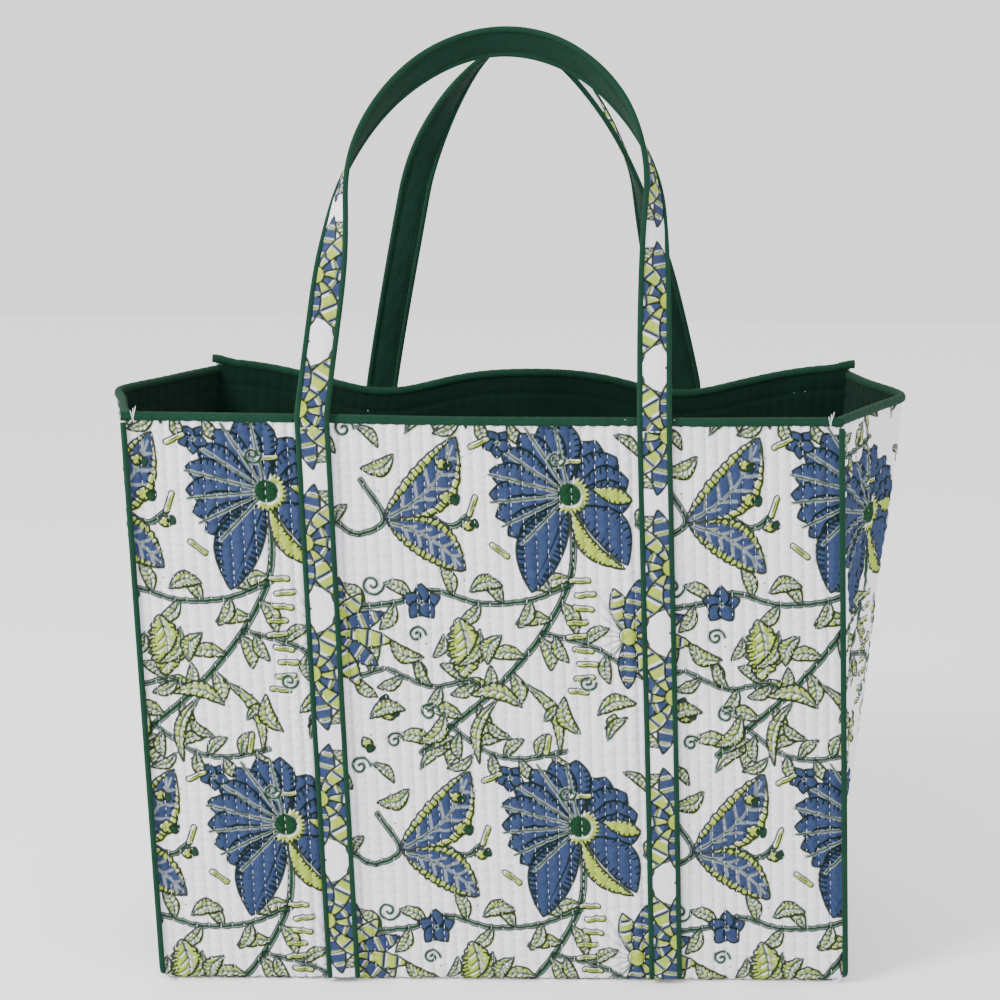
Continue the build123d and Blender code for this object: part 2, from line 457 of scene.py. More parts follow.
def fan_flower(x, y):
    """The large flower: a fan of blue petals, a dotted green heart and a toothed lime collar."""
    centre = np.array([x, y], float)
    for degrees in (62, 38, 14, -8):
        leaf(centre, centre + 40 * ahead_of(math.radians(degrees)), 27, BLUE, blunt=1.5, hatch=9)
    leaf(centre + [14, 4], centre + [41, -4], 11, LIME, blunt=1.3, hatch=7)
    leaf(centre + [4, -8], centre + [37, -47], 24, BLUE, bend=0.15, hatch=10)
    leaf(centre + [1, -10], centre + [35, -50], 11, LIME, bend=-0.16, hatch=14)
    for k, degrees in enumerate((92, 110, 128, 146, 163, 180, 197, 214, 228)):
        reach = 54 - 1.5 * abs(k - 4)
        leaf(centre, centre + reach * ahead_of(math.radians(degrees)), 19, BLUE, blunt=1.9, hatch=12)
    leaf(centre + [-2, -9], centre + [-27, -66], 31, BLUE, bend=-0.1, hatch=20)
    line(curve([centre + [-4, -14], centre + [-14, -38], centre + [-26, -62]]), 0.9, DARK, taper=True)
    ring = []
    for k in range(30):
        angle = math.radians(-140 + 215 * k / 29)
        reach = 14.5 if k % 2 else 11.0
        ring.append(centre + reach * ahead_of(angle))
    inner = [centre + 7.5 * ahead_of(angle) for angle in np.radians(np.linspace(75, -140, 20))]
    fill(ring + inner, LIME)
    line(ring, fine_line, DARK)
    for degrees, reach in zip((100, 122, 146, 166, 186, 206, 226), (46, 52, 50, 54, 52, 50, 46)):
        far = centre + reach * ahead_of(math.radians(degrees))
        clear_dark([centre, far], 1.6)
        line([centre, far], 1.9, GREEN)
    disc(centre, 8, 28, GREEN)
    for k in range(14):
        spot = centre + (2.0 + 0.35 * k) * ahead_of(2.4 * k)
        line([spot, spot + [0.1, 0]], 0.9, DARK)


def striped_flower(x, y):
    """Half flower with striped petals and a column of seed capsules at its left."""
    centre = np.array([x, y], float)
    reaches = (34, 40, 36, 40, 42, 38, 40, 36)
    for k, degrees in enumerate((105, 78, 50, 22, -6, -34, -62, -92)):
        angle = math.radians(degrees)
        tip = centre + reaches[k] * ahead_of(angle)
        leaf(centre, tip, 13, BLUE if k % 2 else LIME, blunt=1.1, hatch=4)
        for share in (0.35, 0.6, 0.82):
            at = centre + share * (tip - centre)
            side = np.array([-math.sin(angle), math.cos(angle)]) * 5.0 * math.sin(math.pi * share)
            line([at - side, at + side], 2.4, LIME if k % 2 else BLUE)
            line([at - side, at + side + 0.4], fine_line, DARK)
    for k in range(9):
        at = centre + [-31 + 3.5 * math.sin(1.3 * k), 38 - 9.5 * k]
        line([centre, at + [6, 0]], 1.0, GREEN, taper=True)
        capsule(at, 0.12 * math.sin(2.1 * k))
    line(disc(centre, 6, 20, LIME), 0.6, DARK, closed=True)


print("outlines are", outline_width, "mm wide and fine lines", fine_line, "mm")

# %% [markdown]
# The repeat is composed like the real cloth: the large flower first, big two-colour leaves beside it, a
# striped half flower below, and vines with leaves, buds and pods that run between them and off the edges
# of the repeat, so that neighbouring repeats join up.
# %% Compose the repeat
trunk = vine([(2, -10), (0, -52), (-14, -84), (-34, -112), (-58, -138), (-84, -160), (-104, -178)], 3.4, 60)
sprig(trunk, 11, 24, 0.2)
branch_a = vine([(0, -60), (-30, -72), (-62, -74), (-92, -66), (-116, -74), (-150, -78)], 2.8, 44)
sprig(branch_a, 9, 21)
branch_b = vine([(-20, -94), (14, -104), (46, -124), (70, -120)], 2.5)
sprig(branch_b, 6, 20)
vine([(76, -18), (96, -10), (118, -22), (132, -14)], 2.8)
vine([(62, 8), (76, -18), (58, -28), (44, -20)], 2.8)
branch_e = vine([(-58, -138), (-70, -128), (-96, -132), (-124, -120)], 2.4)
sprig(branch_e, 6, 19)
branch_f = vine([(-84, -160), (-60, -178), (-36, -182), (-8, -176)], 2.4)
sprig(branch_f, 7, 19)
leaf((76, -18), (125, 38), 31, BLUE, bend=-0.12, teeth=9, tooth=0.08, border=LIME, vein=GREEN, hatch=16)
leaf((78, -20), (128, -52), 25, BLUE, bend=0.1, teeth=12, tooth=0.16, border=LIME, vein=GREEN, hatch=14)
fan_flower(0, 0)
striped_flower(36, -96)
small_flower((98, -74))
small_flower((-46, -196), 10, 0.9)
leaf((122, -84), (124, -126), 20, LIME, bend=0.08, teeth=9, tooth=0.35, vein=GREEN, hatch=14)
pod((-36, -128), (-12, -178))
pod((146, -140), (132, -186), 7.0, -0.16)
pod((-62, -92), (-78, -118), 7.0, 0.2)
buds = (((-74, -4), 170, 12), ((-62, -20), 192, 10), ((-78, 18), 160, 10), ((70, -140), -60, 11),
        ((-120, -150), 200, 10), ((22, -160), 70, 11), ((60, -176), 120, 10))
for at, degrees, size in buds:
    bud(at, math.radians(degrees), size)
for at, degrees in (((1, 22), 4), ((-47, -38), -38), ((-58, 34), 25), ((134, -8), 70), ((-20, 58), 80)):
    capsule(at, math.radians(degrees), 12)
curls = (((52, 42), 7, 1), ((66, -62), 8, -1), ((-104, -96), 6, 1), ((8, -128), 6, -1),
         ((100, -150), 7, 1), ((-8, -206), 6, -1), ((76, 60), 6, 1))
for at, size, hand in curls:
    curl(at, size, hand)
small_leaves = (((44, -20), (52, -8)), ((-96, -132), (-104, -112)), ((92, -190), (112, -176)),
                ((30, -190), (46, -204)), ((-70, 50), (-88, 40)), ((60, 44), (74, 30)),
                ((-22, 74), (-6, 84)), ((20, 62), (34, 78)), ((-44, 62), (-60, 74)),
                ((112, -96), (104, -112)), ((100, 54), (116, 62)))
for base, tip in small_leaves:
    leaf(base, tip, 7, LIME, bend=0.15, vein=GREEN, hatch=4)
long_leaves = (((-36, 84), (-70, 92), -0.2), ((98, -112), (76, -100), 0.2), ((14, -150), (40, -142), 0.2),
               ((84, -204), (62, -214), 0.2), ((110, -150), (92, -172), 0.2), ((2, 66), (-8, 92), 0.2),
               ((130, -66), (152, -62), 0.2), ((150, -96), (140, -116), -0.2), ((60, -154), (84, -148), 0.2))
for base, tip, bend in long_leaves:
    leaf(base, tip, 11, LIME, bend=bend, vein=GREEN, hatch=8)
ground = np.random.default_rng(7)
for _ in range(26):
    at = ground.uniform((0, 0), (repeat_x, repeat_y))
    line([at, at + [0.3, 0.2]], 0.9, DARK)
for axis in (0, 1):
    tile = (np.roll(tile, 1, axis) + 2 * tile + np.roll(tile, -1, axis)) / 4
lime_shift = 0.9
print("repeat", tile.shape, "inked share", np.round((tile[..., :3].sum(-1) > 0.5).mean(), 2))


def print_at(u, v):
    """Ink on the cloth at u, v millimetres; the lime block lands slightly off the outline."""
    def sample(right, up, ink):
        x, y = right / cell, up / cell
        i, j = np.floor(x).astype(int), np.floor(y).astype(int)
        fx, fy = x - i, y - j
        i0, i1, j0, j1 = i % columns, (i + 1) % columns, j % rows, (j + 1) % rows
        low = tile[j0, i0, ink] * (1 - fx) + tile[j0, i1, ink] * fx
        high = tile[j1, i0, ink] * (1 - fx) + tile[j1, i1, ink] * fx
        return low * (1 - fy) + high * fy
    lime = sample(u - lime_shift, v + lime_shift, LIME)
    return np.stack([sample(u, v, BLUE), sample(u, v, GREEN), lime, sample(u, v, DARK)], axis=-1)


# %% [markdown]
# ## Quilting
# Rows of running stitch hold the printed cloth, wadding and lining together. Between rows the wadding
# lifts the cloth, and each stitch pulls a small dimple. A bump in the material could fake this from the
# front, but the edges of the bag would stay smooth, so the relief is modelled in the mesh itself.
# %% Quilting relief
row_spacing = 8.0
stitch_pitch = 5.0
stitch_length = 3.0
channel_depth = 1.5
dimple_depth = 0.8
pucker_height = 0.3
rumple_height = 0.45


def row_drift(row):
    """Each row of stitches starts at its own place."""
    return 2.1 * np.sin(12.9 * row)


def quilting(u, v, puff=1.0):
    """Relief of quilted cloth in metres, about 0 midway between two rows; u, v in millimetres."""
    row = np.round(u / row_spacing)
    aside = u - row * row_spacing
    lift = np.abs(np.sin(math.pi * u / row_spacing)) ** 0.6
    along = 2 * math.pi * (v + row_drift(row)) / stitch_pitch
    dimple = np.exp(-(aside / 1.5) ** 2) * (0.5 + 0.5 * np.cos(along))
    pucker = lift * np.sin(2 * math.pi * (v + 1.7 * np.sin(row * 5.1)) / 9.3 + 1.2 * np.sin(u * 0.3))
    rumple = np.sin(u * 0.11 + 1.3 * np.sin(v * 0.07)) * np.sin(v * 0.13 + u * 0.05)
    raised = pucker_height * pucker + rumple_height * rumple
    return puff * (channel_depth * (lift - 1) - dimple_depth * dimple + raised) * MM


def cloth_width(side):
    """Flat width of a wall's cloth; a gusset is wider than the bag is deep, because of its fold."""
    return base_width if side in ("front", "back") else depth * 1.04


def cloth_place(side, across, up):
    """Flat cloth coordinates of a wall in millimetres, centred on the wall."""
    u, v = np.broadcast_arrays((across - 0.5) * cloth_width(side) / MM, up * height / MM)
    return u, v, np.stack([u, v, 0 * u], axis=-1) * MM


def wall_name(side):
    return side + ("_panel" if side in ("front", "back") else "_gusset")


print_start = {
    "front": (-54.6, -344.0), "back": (10.0, -300.0), "right": (40.0, -320.0), "left": (-30.0, -250.0)}


print("quilting rows", row_spacing, "mm apart, stitches every", stitch_pitch, "mm")

# %% Outer and lining panels
seam_margin = 5 * MM
cloth_sink = 0.4 * MM
lining_puff = 0.3
facing_drop = 17


def outer_panel(side, step=0.72 * MM):
    across = np.linspace(0, 1, int(cloth_width(side) / step))[None, :]
    up = np.linspace(0, 1, int(height / step))[:, None]
    u, v, flat = cloth_place(side, across, up)
    margin = cloth_width(side) / seam_margin
    edge = smooth(across * margin) * smooth((1 - across) * margin)
    points = wall_point(side, across, up, quilting(u, v) * edge - cloth_sink)
    start = print_start[side]
    inks = print_at(u + start[0], v + start[1])
    name = wall_name(side)
    piece = grid_mesh(name + "_print_cloth", points, colours=inks, flat=flat)
    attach(piece, "bag")
    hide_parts(name + "_outer", name + "_wadding")
    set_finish(piece, "printed_cotton")
    return piece


def lining_panel(side, step=2.0 * MM):
    across = np.linspace(0.005, 0.995, int(cloth_width(side) / step))[None, :]
    up = np.linspace(0.008, 0.992, int(height / step))[:, None]
    u, v, flat = cloth_place(side, across, up)
    facing_seam = -0.9 * np.exp(-((v - height / MM + facing_drop) / 1.2) ** 2) * MM
    points = wall_point(side, across, up, -wall - quilting(u, v, lining_puff) - facing_seam)
    name = wall_name(side) + "_lining"
    piece = grid_mesh(name + "_cloth", points[:, ::-1], flat=flat[:, ::-1])
    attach(piece, "bag")
    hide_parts(name)
    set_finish(piece, "lining_cotton")
    return piece


sides = ("front", "right", "back", "left")
outer = {side: outer_panel(side) for side in sides}
linings = {side: lining_panel(side) for side in sides}
print("front cloth points:", len(outer["front"].data.vertices))
print("linings:", [piece.name for piece in linings.values()])


# %% [markdown]
# The base is one more quilted panel. Its printed cloth rolls up into the front and back, and the lining
# lies on top of the wadding inside.
# %% Base
def base_panel(name, z, inset, underside, step, nodes, slot_name):
    half_x, half_y = base_width / 2 - inset, depth / 2 - inset
    x = np.linspace(-half_x, half_x, int(2 * half_x / step))[None, :]
    y = np.linspace(-half_y, half_y, int(2 * half_y / step))[:, None]
    x, y = np.broadcast_arrays(x, y)
    u, v = x / MM, y / MM
    relief = quilting(u, v)
    points = np.stack([x, y, z + (np.maximum(-relief, 0) if underside else relief)], axis=-1)
    flat = np.stack([u, v, 0 * u], axis=-1) * MM
    order = slice(None, None, -1) if underside else slice(None)
    inks = print_at(u + base_print_start, v)
    piece = grid_mesh(name, points[:, order], colours=inks[:, order], flat=flat[:, order])
    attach(piece, "bag")
    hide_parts(*nodes)
    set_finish(piece, slot_name)
    return piece


base_print_start = 20
base_nodes = ("base_outer", "base_wadding")
base_cloth = base_panel("base_print_cloth", 0.0, 5 * MM, True, 1.2 * MM, base_nodes, "printed_cotton")
base_inside = base_panel(
    "base_lining_cloth", wall + 1 * MM, wall, False, 2.0 * MM, ("base_lining",), "lining_cotton")
print("base:", base_cloth.name, "and", base_inside.name)

# %% [markdown]
# ## Rim binding and corded seams
# A bias strip folded over the raw edge makes the rim. Sweeping a rounded section along the rim gives the
# fold, and fine puckers show where the strip eases round. The gusset seams hold a cord wrapped in the same
# green cloth: down the front seam, along the base and up the back seam. A bevelled curve could make both, but
# rings built one by one let the strip pucker.
# %% Rim binding
binding_sink = 2.0 * MM
binding_end_rise = 3 * MM


def puckered(path, amount=0.12 * MM, pitch=3.1 * MM):
    """Small ripples along a sewn strip."""
    along = arc_length(path)
    slow = np.sin(2 * math.pi * along / (pitch * 2.7) + 1)
    return amount * (np.sin(2 * math.pi * along / pitch) + 0.7 * slow)


def rim_binding(side):
    long_side = side in ("front", "back")
    over = 0.006 if long_side else 0.0
    across = np.linspace(-over, 1 + over, 420 if long_side else 220)
    path = wall_point(side, across, 1.0, -wall / 2)
    path[:, 2] -= binding_sink
    if side == "back":
        ends = smooth(1 - 25 * (across + over)) + smooth(1 - 25 * (1 + over - across))
        path[:, 2] += binding_end_rise * ends
    upright = np.tile(np.array([0.0, 0.0, 1.0]), (len(path), 1))
    rings = ring_along(path, upright, 3.1 * MM, wall / 2 + 0.9 * MM, sides=16)
    ripple = np.concatenate([[0], puckered(path), [0]])
    centre = np.concatenate([path[:1], path, path[-1:]])
    away = rings - centre[:, None, :]
    size = np.maximum(np.linalg.norm(away, axis=2, keepdims=True), 1e-6)
    rings = rings + away / size * ripple[:, None, None] * (size > 1e-5)
    piece = grid_mesh(side + "_rim_binding_strip", rings, closed=True)
    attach(piece, "bag")
    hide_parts(side + "_rim_binding")
    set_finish(piece, "green_piping")
    return piece


bindings = [rim_binding(side) for side in sides]
print("bindings:", [piece.name for piece in bindings])


# %% Corded gusset seams
cord_radius = 2.0 * MM
cord_out = 1.3 * MM
cord_floor = 2.2 * MM


def seam_cord(side):
    first, second = ("front", "back") if side == "right" else ("back", "front")
    up = np.linspace(0.985, 0.012, 200)
    down_run = wall_point(first, 1.0, up, cord_out)
    up_run = wall_point(second, 0.0, up[::-1], cord_out)
    shift = cord_out if side == "right" else -cord_out
    down_run[:, 0] += shift
    up_run[:, 0] += shift
    low = wall_point(side, np.linspace(0.03, 0.97, 90), 0.012, cord_out)
    path = np.vstack([down_run, low, up_run])
    path[:, 2] = np.maximum(path[:, 2], cord_floor)
    for _ in range(6):
        path[1:-1] = (path[:-2] + 2 * path[1:-1] + path[2:]) / 4
    aim = np.tile(np.array([1.0, 0.0, 0.0]), (len(path), 1))
    piece = grid_mesh(side + "_gusset_cord", ring_along(path, aim, cord_radius), closed=True)
    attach(piece, "bag")
    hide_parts(side + "_gusset_piping")
    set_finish(piece, "green_piping")
    return piece


cords = [seam_cord(side) for side in ("right", "left")]
print("cords:", [piece.name for piece in cords])

# %% [markdown]
# ## Straps that become handles
# One strap is sewn to a panel from the base to the rim, leaves the bag as a loop and comes back down the
# other side. Each has a printed face, a green backing and a cord in both edges. The path below runs the
# whole way, and the strap turns over as it goes: printed side out at the rim, backing outwards at the top.
# %% Path of a strap
arch_radius = strap_spacing / 2
strap_half_thick = 1.6 * MM
loop_reach = -hinge_y - strap_width / 2 - 2 * MM
loop_rise = math.hypot(handle_high[2] - hinge_z - strap_half_thick, loop_reach)
lean = math.asin(loop_reach / loop_rise)
apex_drift = 14 * MM
narrowing = {"front": 0.12, "back": 0.52}
band_half = strap_width / 2 - 3.6 * MM
twist_blur = 20


def strap_path(which, twist_keys, stations=420):
    """Place, across and outward directions along a loop, from its left foot to its right foot."""
    leg = loop_rise - arch_radius
    total = 2 * leg + math.pi * arch_radius
    s = np.linspace(0, total, stations)
    turn = np.clip((s - leg) / arch_radius, 0, math.pi)
    aside = -arch_radius * np.cos(turn)
    v = np.where(s < leg, s, np.where(s < total - leg, leg + arch_radius * np.sin(turn), total - s))
    aside = aside * (1 - narrowing[which] * v / loop_rise)
    up = np.array([0, math.sin(lean), math.cos(lean)])
    inward = np.array([0, math.cos(lean), -math.sin(lean)])
    place = np.zeros((stations, 3)) + [-skew, hinge_y, hinge_z]
    place[:, 0] += aside + apex_drift * v / loop_rise
    place = place + up * v[:, None] + inward * strap_half_thick
    ahead_x, ahead_up = np.gradient(aside), np.gradient(v)
    size = np.hypot(ahead_x, ahead_up)
    ahead_x, ahead_up = ahead_x / size, ahead_up / size
    tangent = np.stack([ahead_x, 0 * v, 0 * v], axis=1) + up * ahead_up[:, None]
    sideways = np.stack([ahead_up, 0 * v, 0 * v], axis=1) - up * ahead_x[:, None]
    keys = np.asarray(twist_keys, float)
    part = np.linspace(0, 1, stations)
    twist = -np.radians(np.interp(part, keys[:, 0], keys[:, 1]))
    kernel = np.hanning(2 * twist_blur + 1)
    twist = np.convolve(np.pad(twist, twist_blur, mode="edge"), kernel / kernel.sum(), mode="valid")
    across = sideways * np.cos(twist)[:, None] + inward * np.sin(twist)[:, None]
    outward = np.cross(across, tangent)
    return place, across, outward


print("loops rise", round(loop_rise, 4), "m and lean", round(math.degrees(lean), 1), "degrees")


def whole_strap(back, twist_keys):
    """The loop joined to its two sewn legs on the panel."""
    side = "back" if back else "front"
    place, across, outward = strap_path(side, twist_keys)
    up = np.linspace(0.008, 1.0, 300)
    legs = []
    for hand in (-1, 1):
        share = (hand * strap_spacing / 2 / half_width(up) + 1) / 2
        over_rim = 1.5 * MM * smooth((up - 0.95) / 0.05)
        legs.append(wall_point(side, share, up, 2.3 * MM + over_rim))
    if back:
        half_turn = np.array([-1.0, -1.0, 1.0])
        place, across, outward = place * half_turn, across * half_turn, outward * half_turn
    sewn_across = np.array([-1.0, 0, 0]) if back else np.array([1.0, 0, 0])
    sewn_out = np.array([0, 1.0, 0]) if back else np.array([0, -1.0, 0])
    ease = np.exp(-np.linspace(0, 1, len(place)) * 14)[:, None]
    lifted = [0, 0, 1.0 * MM]
    place = place + ease * (legs[0][-1] + lifted - place[0])
    place = place + ease[::-1] * (legs[1][-1] + lifted - place[-1])
    path = np.vstack([legs[0], place, legs[1][::-1]])
    count = len(up)
    across = np.vstack([np.tile(sewn_across, (count, 1)), across, np.tile(-sewn_across, (count, 1))])
    outward = np.vstack([np.tile(sewn_out, (count, 1)), outward, np.tile(sewn_out, (count, 1))])
    length = arc_length(path)
    even = np.linspace(0, length[-1], 1700)
    result = []
    for array in (path, across, outward):
        result.append(np.stack([np.interp(even, length, array[:, k]) for k in range(3)], axis=1))
    kernel = np.hanning(25)[1:-1]
    kernel = kernel / kernel.sum()
    for index, array in enumerate(result):
        padded = np.pad(array, ((11, 11), (0, 0)), mode="edge")
        result[index] = np.stack([np.convolve(padded[:, k], kernel, mode="valid") for k in range(3)], axis=1)
    path, across, outward = result
    outward = outward / np.linalg.norm(outward, axis=1, keepdims=True)
    across = across - outward * (across * outward).sum(1, keepdims=True)
    across = across / np.linalg.norm(across, axis=1, keepdims=True)
    return path, across, outward, even / MM


# %% [markdown]
# The face bands are cut from the busiest stripe of the cloth, where the striped flowers stand, so a
# narrow strap still shows blue, lime and green all along it.
# %% Bands and cords of a strap
stripe_low = -140.0
stripe_height = 88.0
edge_stitch_place = 5.4
strap_cord_radius = 1.85 * MM


def strap_band(name, strap, face, print_column):
    """Slightly crowned band; face is 1 for the printed side and -1 for the backing."""
    path, across, outward, along = strap
    w = np.linspace(-1, 1, 22)
    crown = 1 - np.abs(w) ** 2.5
    u = w * band_half / MM
    uu, vv = np.broadcast_arrays(u[None, :], along[:, None])
    edge_row = np.exp(-((np.abs(uu) - edge_stitch_place) / 0.8) ** 2)
    stitch = edge_row * (0.6 + 0.4 * np.cos(2 * math.pi * vv / 4.0))
    rumple = 0.22 * np.sin(vv * 0.21 + 1.5 * np.sin(uu * 0.4)) * np.sin(vv * 0.083 + uu * 0.3)
    lift = (0.5 + 1.1 * crown[None, :] - 0.45 * stitch + rumple) * MM
    points = path[:, None, :] + across[:, None, :] * (w * band_half)[None, :, None]
    points = points + face * outward[:, None, :] * lift[..., None]
    if face < 0:
        points, uu, vv = points[:, ::-1], uu[:, ::-1], vv[:, ::-1]
    back_and_forth = np.abs((vv / stripe_height) % 2 - 1) * stripe_height
    inks = print_at(uu + print_column, stripe_low + back_and_forth)
    flat = np.stack([uu, vv, 0 * uu], axis=-1) * MM
    return grid_mesh(name, points, colours=inks if face > 0 else None, flat=flat)


def strap_cord(name, strap, edge):
    path, across = strap[:2]
    cord_path = path + across * edge * (band_half + 1.2 * MM)
    return grid_mesh(name, ring_along(cord_path, across, strap_cord_radius), closed=True)


def build_strap(which, twist_keys, print_column):
    back = which == "back"
    strap = whole_strap(back, twist_keys)
    body = which + "_handle"
    hands = ("right", "left") if back else ("left", "right")
    face = strap_band(which + "_strap_print_band", strap, 1, print_column)
    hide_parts(body + "_face", *[which + "_" + hand + "_strap_face" for hand in hands])
    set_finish(face, "printed_cotton")
    backing = strap_band(which + "_strap_green_band", strap, -1, 0)
    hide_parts(body + "_backing", *[which + "_" + hand + "_strap_backing" for hand in hands])
    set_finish(backing, "green_cotton")
    made = [face, backing]
    for edge, word in ((1, "inner"), (-1, "outer")):
        cord = strap_cord(which + "_strap_" + word + "_cord", strap, edge)
        nodes = [body + "_" + word + "_piping"]
        if edge == 1:
            nodes += [which + "_" + hand + "_strap_piping" for hand in hands]
        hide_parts(*nodes)
        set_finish(cord, "green_piping")
        made.append(cord)
    for piece in made:
        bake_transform(piece)
    print(which, "strap length", round(strap[3][-1]), "mm")
    return made


front_twist = [
    (0, 0), (0.13, 0), (0.28, 95), (0.40, 128), (0.55, 131), (0.66, 105), (0.80, 35), (0.92, 0), (1, 0)]
back_twist = [
    (0, 0), (0.12, 15), (0.24, 80), (0.36, 95), (0.5, 95), (0.62, 60), (0.74, 12), (0.85, 0), (1, 0)]
strap_pieces = build_strap("front", front_twist, 45.0) + build_strap("back", back_twist, 50.0)
print("strap pieces:", [piece.name for piece in strap_pieces])

# %% [markdown]
# ## Thread
# The quilting thread shows as white dashes, one for each stitch, sunk in the channels. They are real
# little bars, thousands in all, placed along the same rows as the relief. Painting them on the cloth would be
# lighter, but thread catches the light above the cloth.
# %% Thread helpers
thread_sink = 0.32 * MM


def thread_bars(name, centres, ahead, aside, outward, length, width, slot_name, nodes=()):
    """Small six-sided bars, one for each stitch."""
    count = len(centres)
    shape = []
    for end, share in ((-1.0, 0.35), (-0.7, 1.0), (0.7, 1.0), (1.0, 0.35)):
        for a, b in ((-1, 0), (0, 1), (1, 0), (0, -1)):
            shape.append((end * length / 2, a * width / 2 * share, b * width / 2 * share))
    shape = np.array(shape)
    points = centres[:, None, :] + shape[None, :, 0, None] * ahead[:, None, :]
    points = points + shape[None, :, 1, None] * aside[:, None, :]
    points = points + shape[None, :, 2, None] * outward[:, None, :]
    faces = []
    for ring in range(3):
        for k in range(4):
            a, b = ring * 4 + k, ring * 4 + (k + 1) % 4
            faces.append((a, b, b + 4, a + 4))
    faces += [(3, 2, 1, 0), (12, 13, 14, 15)]
    faces = (np.array(faces)[None] + 16 * np.arange(count)[:, None, None]).reshape(-1, 4)
    corners = np.tile(np.array([0.1, 0.1, 0.9, 0.1, 0.9, 0.9, 0.1, 0.9]), len(faces))
    piece = quad_mesh(name, points, faces, corners, smooth_faces=False)
    piece.data.validate()
    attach(piece, "bag")
    if nodes:
        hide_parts(*nodes)
    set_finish(piece, slot_name)
    return piece


def quilting_thread(side):
    width = cloth_width(side) / MM
    seeded = np.random.default_rng(len(side))
    u, v = [], []
    for row in range(int(-width / 2 / row_spacing) + 1, int(width / 2 / row_spacing)):
        places = np.arange(6.0, height / MM - 9, stitch_pitch)
        places = places - row_drift(row) % stitch_pitch + stitch_pitch / 2
        u.append(np.full(len(places), row * row_spacing) + seeded.normal(0, 0.12, len(places)))
        v.append(places + seeded.normal(0, 0.3, len(places)))
    u, v = np.concatenate(u), np.concatenate(v)
    keep = (v > 8) & (v < height / MM - 12)
    u, v = u[keep], v[keep]
    across, up = u / width + 0.5, v * MM / height
    out = quilting(u, v) - thread_sink
    centres = wall_point(side, across, up, out)
    nudge = 0.002
    ahead = wall_point(side, across, up + nudge, out) - wall_point(side, across, up - nudge, out)
    aside = wall_point(side, across + nudge, up, out) - wall_point(side, across - nudge, up, out)
    ahead = ahead / np.linalg.norm(ahead, axis=1, keepdims=True)
    aside = aside / np.linalg.norm(aside, axis=1, keepdims=True)
    outward = np.cross(aside, ahead)
    return thread_bars(
        side + "_quilting_thread", centres, ahead, aside, outward, stitch_length * MM, 0.5 * MM,
        "white_thread")


threads = [quilting_thread(side) for side in sides]
print("quilting threads:", [piece.name for piece in threads])


# %% Stitch rows across the straps and corner tacks
row_below_rim = 7.0 * MM
row_pitch = 3.8 * MM
row_out = 4.9 * MM


def strap_stitches(side):
    up = 1 - row_below_rim / height
    centres = []
    for hand in (-1, 1):
        for k in range(4):
            x = hand * strap_spacing / 2 + (k - 1.5) * row_pitch
            centres.append(wall_point(side, (x / half_width(up) + 1) / 2, up, row_out))
    centres = np.array(centres)
    count = len(centres)
    sign = -1.0 if side == "front" else 1.0
    ahead = np.tile([1.0, 0, 0], (count, 1))
    aside = np.tile([0, 0, 1.0], (count, 1))
    outward = np.tile([0, sign, 0], (count, 1))
    return thread_bars(side + "_strap_stitches", centres, ahead, aside, outward, 2.9 * MM, 0.7 * MM,
                       "white_thread", (side + "_strap_stitch_rows",))


def tacks():
    centres, ahead = [], []
    for share in (0.012, 0.988):
        for k in range(3):
            fan_out = [0.8 * MM * (k - 1), 0, (k - 1) * 1.5 * MM]
            centres.append(wall_point("front", share, 1.0, 1.2 * MM) + fan_out)
            ahead.append([0.25 * (k - 1), -0.1, 1.0])
    ahead = np.array(ahead) / np.linalg.norm(ahead, axis=1, keepdims=True)
    aside = np.cross(ahead, [0, -1.0, 0])
    aside = aside / np.linalg.norm(aside, axis=1, keepdims=True)
    outward = np.cross(aside, ahead)
    return thread_bars(
        "front_corner_tack_threads", np.array(centres), ahead, aside, outward, 8 * MM, 0.6 * MM,
        "white_thread", ("front_corner_tacks",))


strap_rows = [strap_stitches(side) for side in ("front", "back")]
tack_threads = tacks()
print("stitches:", [piece.name for piece in strap_rows], "tacks:", tack_threads.name)

# %% [markdown]
# ## Materials
# Cotton needs three things: the weave, an uneven dye and a soft surface with no shine. The weave is a node
# group that every cloth here shares, with a thread count set in each material.
# %% Shared weave group
one_wave = 0.314


def weave_group():
    group = bpy.data.node_groups.new("cotton_weave", "ShaderNodeTree")
    group.interface.new_socket("Cloth", in_out="INPUT", socket_type="NodeSocketVector")
    group.interface.new_socket("Threads", in_out="INPUT", socket_type="NodeSocketFloat")
    group.interface.new_socket("Height", in_out="OUTPUT", socket_type="NodeSocketFloat")
    group.interface.new_socket("Fleck", in_out="OUTPUT", socket_type="NodeSocketFloat")
    nodes, links = group.nodes, group.links
    source = nodes.new("NodeGroupInput")
    sink = nodes.new("NodeGroupOutput")
    scaled = nodes.new("ShaderNodeVectorMath")
    scaled.operation = "SCALE"
    links.new(source.outputs["Cloth"], scaled.inputs[0])
    links.new(source.outputs["Threads"], scaled.inputs["Scale"])
    bands = []
    for direction in ("X", "Y"):
        wave = nodes.new("ShaderNodeTexWave")
        wave.bands_direction = direction
        wave.inputs["Scale"].default_value = one_wave
        wave.inputs["Distortion"].default_value = 1.2
        wave.inputs["Detail"].default_value = 2.0
        links.new(scaled.outputs[0], wave.inputs["Vector"])
        bands.append(wave)
    both = nodes.new("ShaderNodeMath")
    both.operation = "MAXIMUM"
    links.new(bands[0].outputs["Fac"], both.inputs[0])
    links.new(bands[1].outputs["Fac"], both.inputs[1])
    slub = nodes.new("ShaderNodeTexNoise")
    slub.inputs["Scale"].default_value = 0.35
    slub.inputs["Detail"].default_value = 6.0
    slub.inputs["Roughness"].default_value = 0.7
    links.new(scaled.outputs[0], slub.inputs["Vector"])
    links.new(both.outputs[0], sink.inputs["Height"])
    links.new(slub.outputs["Fac"], sink.inputs["Fleck"])
    return group


